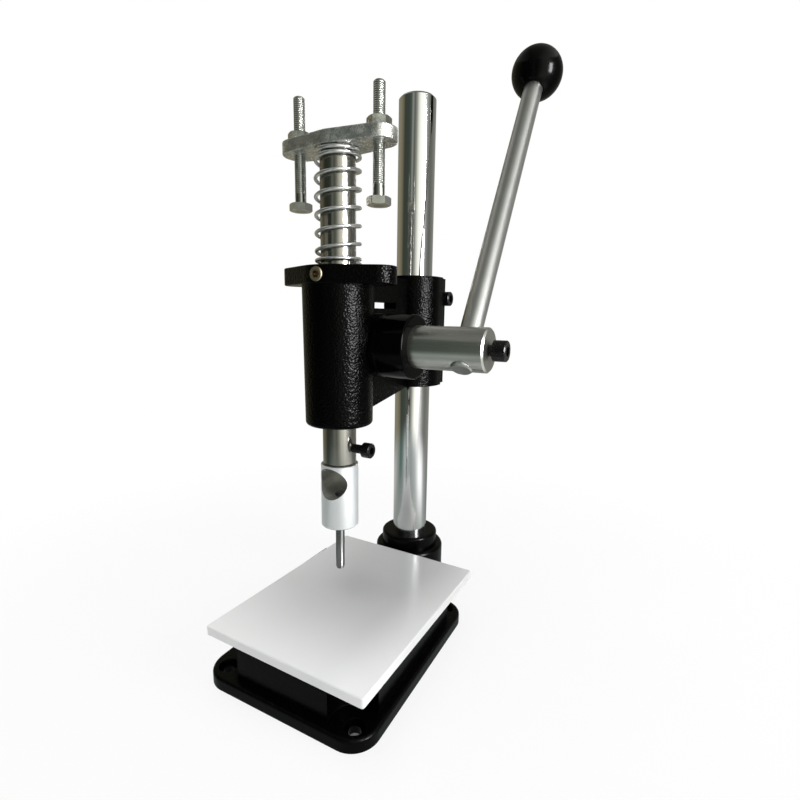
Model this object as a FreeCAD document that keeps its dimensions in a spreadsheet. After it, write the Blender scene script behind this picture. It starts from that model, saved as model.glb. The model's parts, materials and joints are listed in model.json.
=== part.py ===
"""Hand-lever paper drill: a rack-and-pinion press with a hollow punch.

Frame: millimetres, +Z up, +X to the operator's right (the lever's side), +Y away from the operator.
The origin is the centre of the base plate's underside. The ram and the column stand on x = 0.
"""
import FreeCAD, Part
import Sketcher
import math
import os
import re

Vector = FreeCAD.Vector
doc = FreeCAD.newDocument("paper_drill")
sheet = doc.addObject("Spreadsheet::Sheet", "sizes")

# The driving dimensions, in millimetres, degrees and counts.
SIZES = {
    # Base casting
    "base_width": 108,
    "base_depth": 133,
    "base_thickness": 7,
    "base_corner_radius": 15,
    "base_edge_radius": 1.8,
    "block_inset": 4.75,
    "block_top": 33.5,
    "notch_radius": 13.8,
    "foot_hole_inset_side": 11,
    "foot_hole_inset_front": 10,
    "foot_hole_diameter": 6.6,
    "foot_sink_diameter": 11,
    "foot_sink_depth": 3,
    "tail_radius": 28,
    "boss_step_radius": 25,
    "boss_step_top": 36,
    "boss_radius": 20.5,
    "boss_top": 45.5,
    "boss_edge_radius": 2,
    "socket_floor": 14,
    # Column and the screw that holds it from below
    "column_diameter": 25,
    "column_y": 84.5,
    "column_top": 348,
    "column_chamfer": 1.5,
    "column_fit": 0.03,
    "column_thread": 10,
    "column_thread_depth": 22,
    "column_screw_head": 16,
    "column_screw_head_height": 6,
    "column_screw_socket": 6,
    "column_washer_diameter": 21,
    "column_washer_thickness": 2,
    # Cutting board
    "board_width": 102,
    "board_depth": 129,
    "board_thickness": 5.5,
    "board_x": 7.6,
    "board_y": -5.6,
    "board_turn": -1.25,
    "board_corner_radius": 1.5,
    "board_edge_chamfer": 0.5,
    # Head casting
    "ram_y": -7,
    "housing_drop": 44.2,
    "housing_bottom_diameter": 37.8,
    "housing_top_diameter": 39.6,
    "housing_edge_radius": 2.2,
    "flange_rise": 32.4,
    "flange_thickness": 9.5,
    "flange_middle_radius": 20.3,
    "flange_ear_radius": 9.9,
    "flange_edge_radius": 0.8,
    "collar_radius": 13.2,
    "collar_height": 0.8,
    "pinion_height": 188.8,
    "hub_diameter": 35.6,
    "hub_face_x": 40.2,
    "hub_back_x": 21,
    "hub_edge_radius": 1.2,
    "web_thickness": 9,
    "web_foot_rise": 3,
    "web_front": 6,
    "window_front": 22,
    "window_back": 50,
    "window_rise": 21,
    "window_height": 3.8,
    "clamp_radius": 19.6,
    "clamp_side_back": 91,
    "clamp_ear_half_width": 15.6,
    "clamp_back": 105.4,
    "clamp_drop": 31.6,
    "clamp_rise": 43.4,
    "clamp_corner_radius": 2,
    "clamp_slit": 2.4,
    "clamp_screw_y": 100.4,
    "clamp_screw_inset": 14.2,
    "clamp_screw_low_inset": 17.5,
    # Socket cap screws, by thread
    "five_thread": 5,
    "five_head": 8.5,
    "five_head_height": 5,
    "five_socket": 4,
    "six_thread": 6,
    "six_head": 10,
    "six_head_height": 6,
    "six_socket": 5,
    "end_thread": 6,
    "end_head": 10.8,
    "end_head_height": 7,
    "end_socket": 5,
    "socket_depth": 2.6,
    "screw_hole_play": 0.15,
    "spot_face_play": 0.6,
    # Guide screw in the flange
    "guide_screw_diameter": 8,
    "guide_screw_socket": 4,
    "guide_slot_width": 4.2,
    "guide_slot_depth": 1.6,
    "guide_key_play": 0.2,
    "guide_key_diameter": 3.8,
    # Ram with its rack
    "ram_diameter": 19,
    "ram_drop": 67.2,
    "ram_fit": 0.04,
    "ram_end_chamfer": 0.6,
    "tooth_module": 1.5,
    "pinion_teeth": 12,
    "pressure_angle": 20,
    "rack_pitch_offset": 7,
    "rack_addendum": 1.0,
    "rack_dedendum": 1.8,
    "rack_gaps": 12,
    "rack_gaps_below": 3,
    "tooth_backlash": 0.24,
    "stem_bore_depth": 24,
    "plate_thread": 8,
    "plate_thread_depth": 18,
    # Pinion shaft
    "shaft_diameter": 23.4,
    "shaft_fit": 0.05,
    "shaft_end_x": 81.6,
    "shaft_end_chamfer": 0.9,
    "pinion_addendum": 1.5,
    "pinion_dedendum": 1.6,
    "pinion_half_width": 9.8,
    "journal_diameter": 16,
    "journal_shoulder_x": 11,
    "journal_length": 16.5,
    "ring_thickness": 1.2,
    "ring_diameter": 21,
    "ring_groove_diameter": 15,
    "washer_diameter": 26,
    "washer_thickness": 1.5,
    "end_play": 0.3,
    # Lever
    "lever_x": 68.9,
    "lever_tilt": 32.7,
    "lever_diameter": 12,
    "lever_fit": 0.05,
    "lever_tail": 12.2,
    "lever_end_chamfer": 0.8,
    "ball_distance": 208,
    "ball_radius": 16.4,
    "ball_flat_radius": 6.8,
    "ball_bore_depth": 15,
    "lever_screw_stand": 2.2,
    # Return spring
    "spring_coil_radius": 11.65,
    "spring_wire": 1.9,
    "spring_end_turns": 1,
    "spring_end_pitch": 2.4,
    "spring_middle_turns": 5,
    "spring_seat_gap": 0.05,
    # Top plate with its stop bolts
    "plate_rise": 101.2,
    "plate_thickness": 6.5,
    "plate_middle_radius": 12.6,
    "plate_ear_radius": 9.3,
    "plate_edge_radius": 0.6,
    "plate_screw_head": 15,
    "plate_screw_dome": 3,
    "plate_screw_socket": 5,
    "bolt_spacing": 50,
    "bolt_diameter": 6,
    "bolt_play": 0.05,
    "bolt_head_width": 11,
    "bolt_head_height": 4,
    "bolt_drop_left": 28.5,
    "bolt_drop_right": 29.7,
    "bolt_length": 54,
    "bolt_chamfer": 0.7,
    "nut_height": 5,
    "hex_chamfer": 0.7,
    # Punch holder and punch
    "holder_diameter": 21.6,
    "holder_reach": 37.6,
    "holder_gap": 0.3,
    "holder_chamfer": 0.7,
    "stem_diameter": 10,
    "stem_fit": 0.03,
    "stem_length": 22,
    "window_diameter": 18.4,
    "slug_window_drop": 10.6,
    "window_past_centre": 5,
    "punch_diameter": 5.2,
    "punch_bore": 4,
    "punch_stand": 17,
    "punch_shoulder_diameter": 7.4,
    "punch_shoulder_height": 1.2,
    "punch_stem_diameter": 6,
    "punch_stem_length": 13,
    "punch_fit": 0.03,
    "punch_cutting_edge": 0.35,
    "holder_screw_rise": 9.6,
    "holder_screw_stand": 7.2,
}

# Heights that follow from the pinion's axis, and the punch's tip, which stands off the board.
HEIGHTS = {
    "housing_bottom": "=pinion_height - housing_drop",
    "flange_bottom": "=pinion_height + flange_rise",
    "window_bottom": "=pinion_height + window_rise",
    "clamp_bottom": "=pinion_height - clamp_drop",
    "clamp_top": "=pinion_height + clamp_rise",
    "ram_bottom": "=pinion_height - ram_drop",
    "plate_bottom": "=pinion_height + plate_rise",
    "bolt_head_bottom_left": "=plate_bottom - bolt_drop_left",
    "bolt_head_bottom_right": "=plate_bottom - bolt_drop_right",
    "holder_bottom": "=ram_bottom - holder_reach",
    "window_centre_height": "=ram_bottom - slug_window_drop",
    "holder_screw_height": "=ram_bottom + holder_screw_rise",
    "punch_tip": "=block_top + board_thickness + punch_stand",
}

for row, (alias, value) in enumerate({**SIZES, **HEIGHTS}.items(), start=1):
    sheet.set("A%d" % row, alias)
    sheet.set("B%d" % row, str(value))
    sheet.setAlias("B%d" % row, alias)
doc.recompute()

ALIAS = re.compile(r"\b(" + "|".join({**SIZES, **HEIGHTS}) + r")\b")


def formula(text):
    """The text with each size's name pointed at the sheet."""
    return ALIAS.sub(r"sizes.\1", str(text))


def number(text):
    """The present value of a formula, in millimetres or as a plain number."""
    value = sheet.evalExpression(formula(text))
    return float(getattr(value, "Value", value))


def bind(thing, **formulas):
    for name, text in formulas.items():
        thing.setExpression(name, formula(text))
    return thing


TURNS = {
    "X": FreeCAD.Rotation(Vector(0, 1, 0), 90),
    "-X": FreeCAD.Rotation(Vector(0, 1, 0), -90),
    "Y": FreeCAD.Rotation(Vector(1, 0, 0), -90),
    "Z": FreeCAD.Rotation(),
    "-Z": FreeCAD.Rotation(Vector(1, 0, 0), 180),
}


def place(thing, at, along="Z"):
    """Turn the thing's own +Z along an axis and tie its place to the sheet."""
    thing.Placement = FreeCAD.Placement(Vector(), TURNS[along])
    for axis, text in zip("xyz", at):
        thing.setExpression(".Placement.Base." + axis, formula(text))
    return thing


def cylinder(name, radius, height, at=(0, 0, 0), along="Z"):
    thing = doc.addObject("Part::Cylinder", name)
    bind(thing, Radius=radius, Height=height)
    return place(thing, at, along)


def cone(name, start_radius, end_radius, height, at=(0, 0, 0), along="Z"):
    thing = doc.addObject("Part::Cone", name)
    bind(thing, Radius1=start_radius, Radius2=end_radius, Height=height)
    return place(thing, at, along)


def box(name, low, high):
    """A box between two corners, each given as three formulas."""
    thing = doc.addObject("Part::Box", name)
    spans = ["(%s) - (%s)" % (top, bottom) for bottom, top in zip(low, high)]
    bind(thing, Length=spans[0], Width=spans[1], Height=spans[2])
    return place(thing, low)


def hexagon(name, width_across_flats, height, at=(0, 0, 0), along="Z"):
    thing = doc.addObject("Part::Prism", name)
    thing.Polygon = 6
    bind(thing, Circumradius="(%s) / sqrt(3)" % width_across_flats, Height=height)
    return place(thing, at, along)


def fuse(name, *things):
    thing = doc.addObject("Part::MultiFuse", name)
    thing.Shapes = list(things)
    thing.Refine = True
    return thing


def cut(name, base, *tools):
    thing = doc.addObject("Part::Cut", name)
    thing.Base = base
    thing.Tool = tools[0] if len(tools) == 1 else fuse(name + "_tools", *tools)
    thing.Refine = True
    return thing


def common(name, *things):
    thing = doc.addObject("Part::MultiCommon", name)
    thing.Shapes = list(things)
    return thing


def dress(kind, name, base, size, wanted):
    """A fillet or chamfer of one size on the edges that the test accepts."""
    doc.recompute()
    thing = doc.addObject(kind, name)
    thing.Base = base
    amount = number(size)
    edges = base.Shape.Edges
    thing.Edges = [(i, amount, amount) for i, edge in enumerate(edges, start=1) if wanted(edge)]
    return thing


def fillet(name, base, size, wanted):
    return dress("Part::Fillet", name, base, size, wanted)


def chamfer(name, base, size, wanted):
    return dress("Part::Chamfer", name, base, size, wanted)


def rim_at(height):
    """Accepts the edges that lie level at one height."""
    level = number(height)

    def wanted(edge):
        box = edge.BoundBox
        return abs(box.ZMin - level) < 1e-4 and abs(box.ZMax - level) < 1e-4
    return wanted


def rim_along_x(place_x):
    """Accepts the round edges that lie square to X at one place."""
    level = number(place_x)

    def wanted(edge):
        box = edge.BoundBox
        return abs(box.XMin - level) < 1e-4 and abs(box.XMax - level) < 1e-4
    return wanted


def upright(edge):
    """Accepts straight vertical edges."""
    return len(edge.Vertexes) == 2 and edge.BoundBox.XLength < 1e-6 and edge.BoundBox.YLength < 1e-6


def outline(name, corners, body=None, plane="XY"):
    """A closed sketch through corners that are given as pairs of formulas."""
    if body is None:
        sketch = doc.addObject("Sketcher::SketchObject", name)
    else:
        sketch = body.newObject("Sketcher::SketchObject", name)
        role = plane + "_Plane"
        origin_plane = [f for f in body.Origin.OriginFeatures if f.Role == role][0]
        sketch.AttachmentSupport = [(origin_plane, "")]
        sketch.MapMode = "FlatFace"
    points = [Vector(number(x), number(y), 0) for x, y in corners]
    count = len(points)
    for i in range(count):
        sketch.addGeometry(Part.LineSegment(points[i], points[(i + 1) % count]), False)
    for i in range(count):
        sketch.addConstraint(Sketcher.Constraint("Coincident", i, 2, (i + 1) % count, 1))
    for i, (x, y) in enumerate(corners):
        for kind, text, value, axis in (("DistanceX", x, points[i].x, -2), ("DistanceY", y, points[i].y, -1)):
            if str(text) == "0":
                sketch.addConstraint(Sketcher.Constraint("PointOnObject", i, 1, axis))
                continue
            index = sketch.addConstraint(Sketcher.Constraint(kind, -1, 1, i, 1, value))
            sketch.setExpression("Constraints[%d]" % index, formula(text))
    return sketch


def extrude(name, sketch, length, at=(0, 0, 0)):
    """The sketch, drawn on XY, raised by a length."""
    thing = doc.addObject("Part::Extrusion", name)
    thing.Base = sketch
    thing.DirMode = "Custom"
    thing.Dir = Vector(0, 0, 1)
    thing.Solid = True
    bind(thing, LengthFwd=length)
    return place(thing, at)


def new_body(name, at=(0, 0, 0), along="Z"):
    body = doc.addObject("PartDesign::Body", name)
    return place(body, at, along)


def pad(body, name, sketch, length, both_sides=False):
    thing = body.newObject("PartDesign::Pad", name)
    thing.Profile = sketch
    if both_sides:
        thing.SideType = "Symmetric"
    bind(thing, Length=length)
    return thing


def turn(body, name, corners):
    """A solid of revolution about the body's own Z, from half of its section."""
    sketch = outline(name + "_section", corners, body, "XZ")
    thing = body.newObject("PartDesign::Revolution", name)
    thing.Profile = sketch
    thing.ReferenceAxis = (sketch, ["V_Axis"])
    thing.Angle = 360
    return thing


def eared_plate(name, middle_radius, ear_radius, thickness, at):
    """A plate that tapers from a round middle to a round ear at each end, along X."""
    reach = "(bolt_spacing / 2)"
    lean = "((%s - %s) / %s)" % (middle_radius, ear_radius, reach)
    rise = "sqrt(1 - %s ^ 2)" % lean
    near = ("%s * %s" % (middle_radius, lean), "%s * %s" % (middle_radius, rise))
    far = ("%s + %s * %s" % (reach, ear_radius, lean), "%s * %s" % (ear_radius, rise))
    quarter = [near, far]
    flip = "-(%s)"
    corners = [far, near]
    corners += [(flip % x, y) for x, y in quarter]
    corners += [(flip % x, flip % y) for x, y in reversed(quarter)]
    corners += [(x, flip % y) for x, y in quarter]
    sketch = outline(name + "_outline", corners)
    web = extrude(name + "_web", sketch, thickness)
    middle = cylinder(name + "_middle", middle_radius, thickness)
    left = cylinder(name + "_left", ear_radius, thickness, ("-" + reach, 0, 0))
    right = cylinder(name + "_right", ear_radius, thickness, (reach, 0, 0))
    return place(fuse(name, web, middle, left, right), at)


def cap_screw(name, family, length, at, along):
    """A socket cap screw whose underhead face is at the given place; its head points along the axis."""
    thread = family + "_thread / 2"
    wide = family + "_head / 2"
    tall = family + "_head_height"
    section = [(0, "-(%s)" % length), (thread, "-(%s)" % length), (thread, 0), (wide, 0),
               (wide, tall + " - 0.5"), (wide + " - 0.5", tall), (0, tall)]
    body = new_body(name, at, along)
    turn(body, name + "_turned", section)
    doc.recompute()
    socket = body.newObject("Sketcher::SketchObject", name + "_socket_outline")
    origin_plane = [f for f in body.Origin.OriginFeatures if f.Role == "XY_Plane"][0]
    socket.AttachmentSupport = [(origin_plane, "")]
    socket.MapMode = "FlatFace"
    bind(socket, **{".AttachmentOffset.Base.z": tall + " - socket_depth"})
    across = family + "_socket"
    add_hexagon(socket, across)
    pocket = body.newObject("PartDesign::Pocket", name + "_socket")
    pocket.Profile = socket
    pocket.Reversed = True
    bind(pocket, Length="socket_depth + 1")
    return body


def add_hexagon(sketch, across_flats):
    """Six lines round the sketch's origin, held by the distance across the flats."""
    reach = number("(%s) / sqrt(3)" % across_flats)
    points = [Vector(reach * math.cos(math.radians(60 * k)), reach * math.sin(math.radians(60 * k)), 0)
              for k in range(6)]
    for k in range(6):
        sketch.addGeometry(Part.LineSegment(points[k], points[(k + 1) % 6]), False)
    circle = sketch.addGeometry(Part.Circle(Vector(), Vector(0, 0, 1), reach), True)
    sketch.addConstraint(Sketcher.Constraint("Coincident", circle, 3, -1, 1))
    for k in range(6):
        sketch.addConstraint(Sketcher.Constraint("Coincident", k, 2, (k + 1) % 6, 1))
        sketch.addConstraint(Sketcher.Constraint("PointOnObject", k, 1, circle))
    for k in range(5):
        sketch.addConstraint(Sketcher.Constraint("Equal", k, k + 1))
    sketch.addConstraint(Sketcher.Constraint("PointOnObject", 0, 1, -1))
    index = sketch.addConstraint(Sketcher.Constraint("Diameter", circle, 2 * reach))
    sketch.setExpression("Constraints[%d]" % index, formula("2 * (%s) / sqrt(3)" % across_flats))


nodes = []


def node(thing, name):
    thing.Label = name
    nodes.append(thing)
    return thing


flange_top = "(flange_bottom + flange_thickness)"
spring_foot = "(%s + collar_height)" % flange_top
pitch_radius = "(tooth_module * pinion_teeth / 2)"
rack_plane = "(ram_y + rack_pitch_offset)"
pinion_y = "(%s + %s)" % (rack_plane, pitch_radius)
board_top = "(block_top + board_thickness)"
plate_top = "(plate_bottom + plate_thickness)"
column_radius = "(column_diameter / 2)"
bolt_reach = "(bolt_spacing / 2)"


# Base casting: plate, raised block with notched corners, and the stepped boss for the column.
def make_base():
    half_width = "base_width / 2"
    half_depth = "base_depth / 2"
    slab = box("base_slab", ("-" + half_width, "-" + half_depth, 0), (half_width, half_depth, "base_thickness"))
    rounded = fillet("base_corners", slab, "base_corner_radius", upright)
    tail = cylinder("base_tail_round", "tail_radius", "base_thickness", (0, "column_y", 0))
    bridge = box("base_tail_bridge", ("-tail_radius", 0, 0), ("tail_radius", "column_y", "base_thickness"))
    plate = fuse("base_plate", rounded, tail, bridge)
    plate = fillet("base_plate_rounded", plate, "base_edge_radius", rim_at("base_thickness"))

    side = "(base_width / 2 - block_inset)"
    front = "(base_depth / 2 - block_inset)"
    block = box("base_block_full", ("-" + side, "-" + front, "base_thickness / 2"), (side, front, "block_top"))
    holes_x = "(base_width / 2 - foot_hole_inset_side)"
    holes_y = "(base_depth / 2 - foot_hole_inset_front)"
    notches = []
    holes = []
    for number_of_corner, (sx, sy) in enumerate((("", ""), ("", "-"), ("-", ""), ("-", "-"))):
        at = (sx + holes_x, sy + holes_y)
        tag = str(number_of_corner)
        notches.append(cylinder("base_notch_" + tag, "notch_radius", "block_top", at + (0,)))
        holes.append(cylinder("base_hole_" + tag, "foot_hole_diameter / 2", "base_thickness * 3",
                              at + ("-base_thickness",)))
        holes.append(cylinder("base_sink_" + tag, "foot_sink_diameter / 2", "base_thickness",
                              at + ("base_thickness - foot_sink_depth",)))
    block = cut("base_block", block, *notches)

    step = cylinder("base_boss_step", "boss_step_radius", "boss_step_top", (0, "column_y", 0))
    step = fillet("base_boss_step_rounded", step, "boss_edge_radius * 1.5", rim_at("boss_step_top"))
    boss = cylinder("base_boss", "boss_radius", "boss_top", (0, "column_y", 0))
    boss = fillet("base_boss_rounded", boss, "boss_edge_radius", rim_at("boss_top"))
    whole = fuse("base_whole", plate, block, step, boss)

    socket = cylinder("base_socket", column_radius + " + column_fit", "boss_top",
                      (0, "column_y", "socket_floor"))
    through = cylinder("base_screw_hole", "column_thread / 2 + 0.5", "socket_floor * 2",
                       (0, "column_y", "-socket_floor / 2"))
    sink = cylinder("base_screw_sink", "column_washer_diameter / 2 + 0.5",
                    "column_washer_thickness + column_screw_head_height + 1", (0, "column_y", 0))
    return node(cut("base_casting", whole, socket, through, sink, *holes), "base")


# Column and the screw and washer that pull it into its socket from below.
def make_column():
    tapped = "column_thread / 2 + 0.05"
    section = [(tapped, 0), (column_radius, 0), (column_radius, "column_top - socket_floor - column_chamfer"),
               (column_radius + " - column_chamfer", "column_top - socket_floor"),
               (0, "column_top - socket_floor"), (0, "column_thread_depth"), (tapped, "column_thread_depth")]
    body = new_body("column_bar", (0, "column_y", "socket_floor"))
    turn(body, "column_turned", section)
    node(body, "column")

    seat = "(column_washer_thickness + column_screw_head_height + 1)"
    washer = new_body("column_washer_body", (0, "column_y", seat + " - column_washer_thickness"))
    inner = "column_thread / 2 + 0.3"
    turn(washer, "column_washer_turned",
         [(inner, 0), ("column_washer_diameter / 2", 0),
          ("column_washer_diameter / 2", "column_washer_thickness"), (inner, "column_washer_thickness")])
    node(washer, "column_washer")

    shank = "(column_thread / 2)"
    head = "(column_screw_head / 2)"
    reach = "(socket_floor + column_thread_depth - 2 - %s + column_washer_thickness)" % seat
    screw = cut("column_screw_cut",
                fuse("column_screw_blank",
                     cylinder("column_screw_shank", shank, reach),
                     cylinder("column_screw_top", head, "column_screw_head_height",
                              (0, 0, "-column_screw_head_height"))),
                hexagon("column_screw_socket", "column_screw_socket", "column_screw_head_height / 2 + 1",
                        (0, 0, "-column_screw_head_height - 1")))
    place(screw, (0, "column_y", seat + " - column_washer_thickness"))
    node(screw, "column_screw")


# Cutting board: a plain plastic slab that lies loose and slightly askew on the block.
def make_board():
    body = new_body("board_body", ("board_x", "board_y", "block_top"))
    body.Placement = FreeCAD.Placement(body.Placement.Base, FreeCAD.Rotation(Vector(0, 0, 1), 1))
    for axis, text in zip("xyz", ("board_x", "board_y", "block_top")):
        body.setExpression(".Placement.Base." + axis, formula(text))
    body.setExpression(".Placement.Rotation.Angle", formula("board_turn"))
    half_width = "board_width / 2"
    half_depth = "board_depth / 2"
    sketch = outline("board_outline", [("-" + half_width, "-" + half_depth), (half_width, "-" + half_depth),
                                       (half_width, half_depth), ("-" + half_width, half_depth)], body)
    pad(body, "board_slab", sketch, "board_thickness")
    doc.recompute()
    tip = body.Tip
    corners = ["Edge%d" % i for i, edge in enumerate(tip.Shape.Edges, start=1) if upright(edge)]
    rounding = body.newObject("PartDesign::Fillet", "board_corners")
    rounding.Base = (tip, corners)
    bind(rounding, Radius="board_corner_radius")
    doc.recompute()
    tip = body.Tip
    level = number("board_thickness")
    rims = ["Edge%d" % i for i, edge in enumerate(tip.Shape.Edges, start=1)
            if edge.BoundBox.ZLength < 1e-6 and min(abs(edge.BoundBox.ZMin), abs(edge.BoundBox.ZMin - level)) < 1e-4]
    easing = body.newObject("PartDesign::Chamfer", "board_edges")
    easing.Base = (tip, rims)
    bind(easing, Size="board_edge_chamfer")
    node(body, "cutting_board")


# Head casting: ram housing with its eared flange, pinion hub, web and the column clamp.
def make_head():
    wall = "(flange_bottom - housing_bottom)"
    housing = cone("head_housing_cone", "housing_bottom_diameter / 2", "housing_top_diameter / 2", wall,
                   (0, "ram_y", "housing_bottom"))
    housing = fillet("head_housing", housing, "housing_edge_radius", rim_at("housing_bottom"))
    flange = eared_plate("head_flange_blank", "flange_middle_radius", "flange_ear_radius", "flange_thickness",
                         (0, "ram_y", "flange_bottom"))
    flange = fillet("head_flange", flange, "flange_edge_radius",
                    lambda edge: rim_at(flange_top)(edge) or rim_at("flange_bottom")(edge))
    collar = cylinder("head_collar", "collar_radius", "flange_thickness / 2 + collar_height",
                      (0, "ram_y", "flange_bottom + flange_thickness / 2"))
    hub = cylinder("head_hub_full", "hub_diameter / 2", "hub_face_x + hub_back_x",
                   ("-hub_back_x", pinion_y, "pinion_height"), "X")
    hub = fillet("head_hub", hub, "hub_edge_radius",
                 lambda edge: rim_along_x("hub_face_x")(edge) or rim_along_x("-hub_back_x")(edge))

    half_web = "web_thickness / 2"
    web = doc.addObject("Part::Extrusion", "head_web")
    web.Base = outline("head_web_outline", [("web_front", "housing_bottom + web_foot_rise"),
                                            ("column_y - clamp_radius + 4", "clamp_bottom"),
                                            ("column_y - clamp_radius + 4", flange_top + " - 1"),
                                            ("web_front", flange_top + " - 1")])
    web.DirMode = "Custom"
    web.Dir = Vector(0, 0, 1)
    web.Solid = True
    bind(web, LengthFwd="web_thickness")
    web.Placement = FreeCAD.Placement(Vector(), FreeCAD.Rotation(Vector(1, 1, 1), 120))
    web.setExpression(".Placement.Base.x", formula("-" + half_web))

    flank = [("clamp_radius", "column_y"), ("clamp_radius", "clamp_side_back"),
             ("clamp_ear_half_width", "clamp_side_back + 2.5"), ("clamp_ear_half_width", "clamp_back")]
    corners = flank + [("-" + x, y) for x, y in reversed(flank)]
    tall = "(clamp_top - clamp_bottom)"
    ears = extrude("head_clamp_ears", outline("head_clamp_outline", corners), tall, (0, 0, "clamp_bottom"))
    back = number("clamp_side_back")
    ears = fillet("head_clamp_ears_rounded", ears, "clamp_corner_radius",
                  lambda edge: upright(edge) and edge.BoundBox.YMin > back - 1e-4)
    clamp = fuse("head_clamp", ears, cylinder("head_clamp_round", "clamp_radius", tall,
                                              (0, "column_y", "clamp_bottom")))
    whole = fuse("head_whole", housing, flange, collar, hub, web, clamp)

    top = "(%s + collar_height + 1)" % flange_top
    ram_bore = cylinder("head_ram_bore", "ram_diameter / 2 + ram_fit", top + " - housing_bottom + 1",
                        (0, "ram_y", "housing_bottom - 1"))
    shaft_bore = cylinder("head_shaft_bore", "shaft_diameter / 2 + shaft_fit",
                          "hub_face_x + journal_shoulder_x + 1",
                          ("-journal_shoulder_x", pinion_y, "pinion_height"), "X")
    journal_bore = cylinder("head_journal_bore", "journal_diameter / 2 + shaft_fit",
                            "hub_back_x + 1", ("-hub_back_x - 1", pinion_y, "pinion_height"), "X")
    column_bore = cylinder("head_column_bore", column_radius + " + column_fit", tall + " + 2",
                           (0, "column_y", "clamp_bottom - 1"))
    slit = box("head_slit", ("-clamp_slit / 2", "column_y", "clamp_bottom - 1"),
               ("clamp_slit / 2", "clamp_back + 1", "clamp_top + 1"))
    window = box("head_window", ("-web_thickness", "window_front", "window_bottom"),
                 ("web_thickness", "window_back", "window_bottom + window_height"))
    guide = cylinder("head_guide_hole", "guide_screw_diameter / 2 + 0.05", "flange_middle_radius + 1",
                     (0, "ram_y - flange_middle_radius - 1", "flange_bottom + flange_thickness / 2"), "Y")
    screw_holes = []
    for tag, height in clamp_screw_heights():
        screw_holes.append(cylinder("head_clamp_hole_" + tag, "six_thread / 2 + screw_hole_play",
                                    "clamp_radius * 2 + 2", ("-clamp_radius - 1", "clamp_screw_y", height),
                                    "X"))
        screw_holes.append(cylinder("head_clamp_spot_" + tag, "six_head / 2 + spot_face_play", "clamp_radius",
                                    ("clamp_ear_half_width", "clamp_screw_y", height), "X"))
    node(cut("head_casting", whole, ram_bore, shaft_bore, journal_bore, column_bore, slit, window, guide,
             *screw_holes), "head")


def clamp_screw_heights():
    return (("upper", "clamp_top - clamp_screw_inset"), ("lower", "clamp_bottom + clamp_screw_low_inset"))


# Two socket cap screws that close the slit at the back of the clamp.
def make_clamp_screws():
    screws = []
    for tag, height in clamp_screw_heights():
        screws.append(cap_screw("clamp_screw_" + tag, "six", "clamp_ear_half_width * 2 - 3",
                                ("clamp_ear_half_width + 0.02", "clamp_screw_y", height), "X"))
    group = doc.addObject("Part::Compound", "clamp_screw_pair")
    group.Links = screws
    node(group, "clamp_screws")


# Screw in the front of the flange whose nose runs in the ram's slot and keeps it from turning.
def make_guide_screw():
    radius = "guide_screw_diameter / 2"
    nose = "guide_key_diameter / 2"
    wall = "(flange_middle_radius - ram_diameter / 2 - ram_fit)"
    reach = "(guide_slot_depth - guide_key_play + ram_fit)"
    body = new_body("guide_screw_body", (0, "ram_y - flange_middle_radius", "flange_bottom + flange_thickness / 2"),
                    "Y")
    turn(body, "guide_screw_turned",
         [(0, 0), (radius + " - 0.5", 0), (radius, 0.5), (radius, wall + " - 1"), (nose, wall + " - 0.4"),
          (nose, wall + " + " + reach), (0, wall + " + " + reach)])
    doc.recompute()
    socket = body.newObject("Sketcher::SketchObject", "guide_screw_socket_outline")
    origin_plane = [f for f in body.Origin.OriginFeatures if f.Role == "XY_Plane"][0]
    socket.AttachmentSupport = [(origin_plane, "")]
    socket.MapMode = "FlatFace"
    add_hexagon(socket, "guide_screw_socket")
    pocket = body.newObject("PartDesign::Pocket", "guide_screw_socket_cut")
    pocket.Profile = socket
    pocket.Reversed = True
    bind(pocket, Length="socket_depth")
    node(body, "guide_screw")


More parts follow.
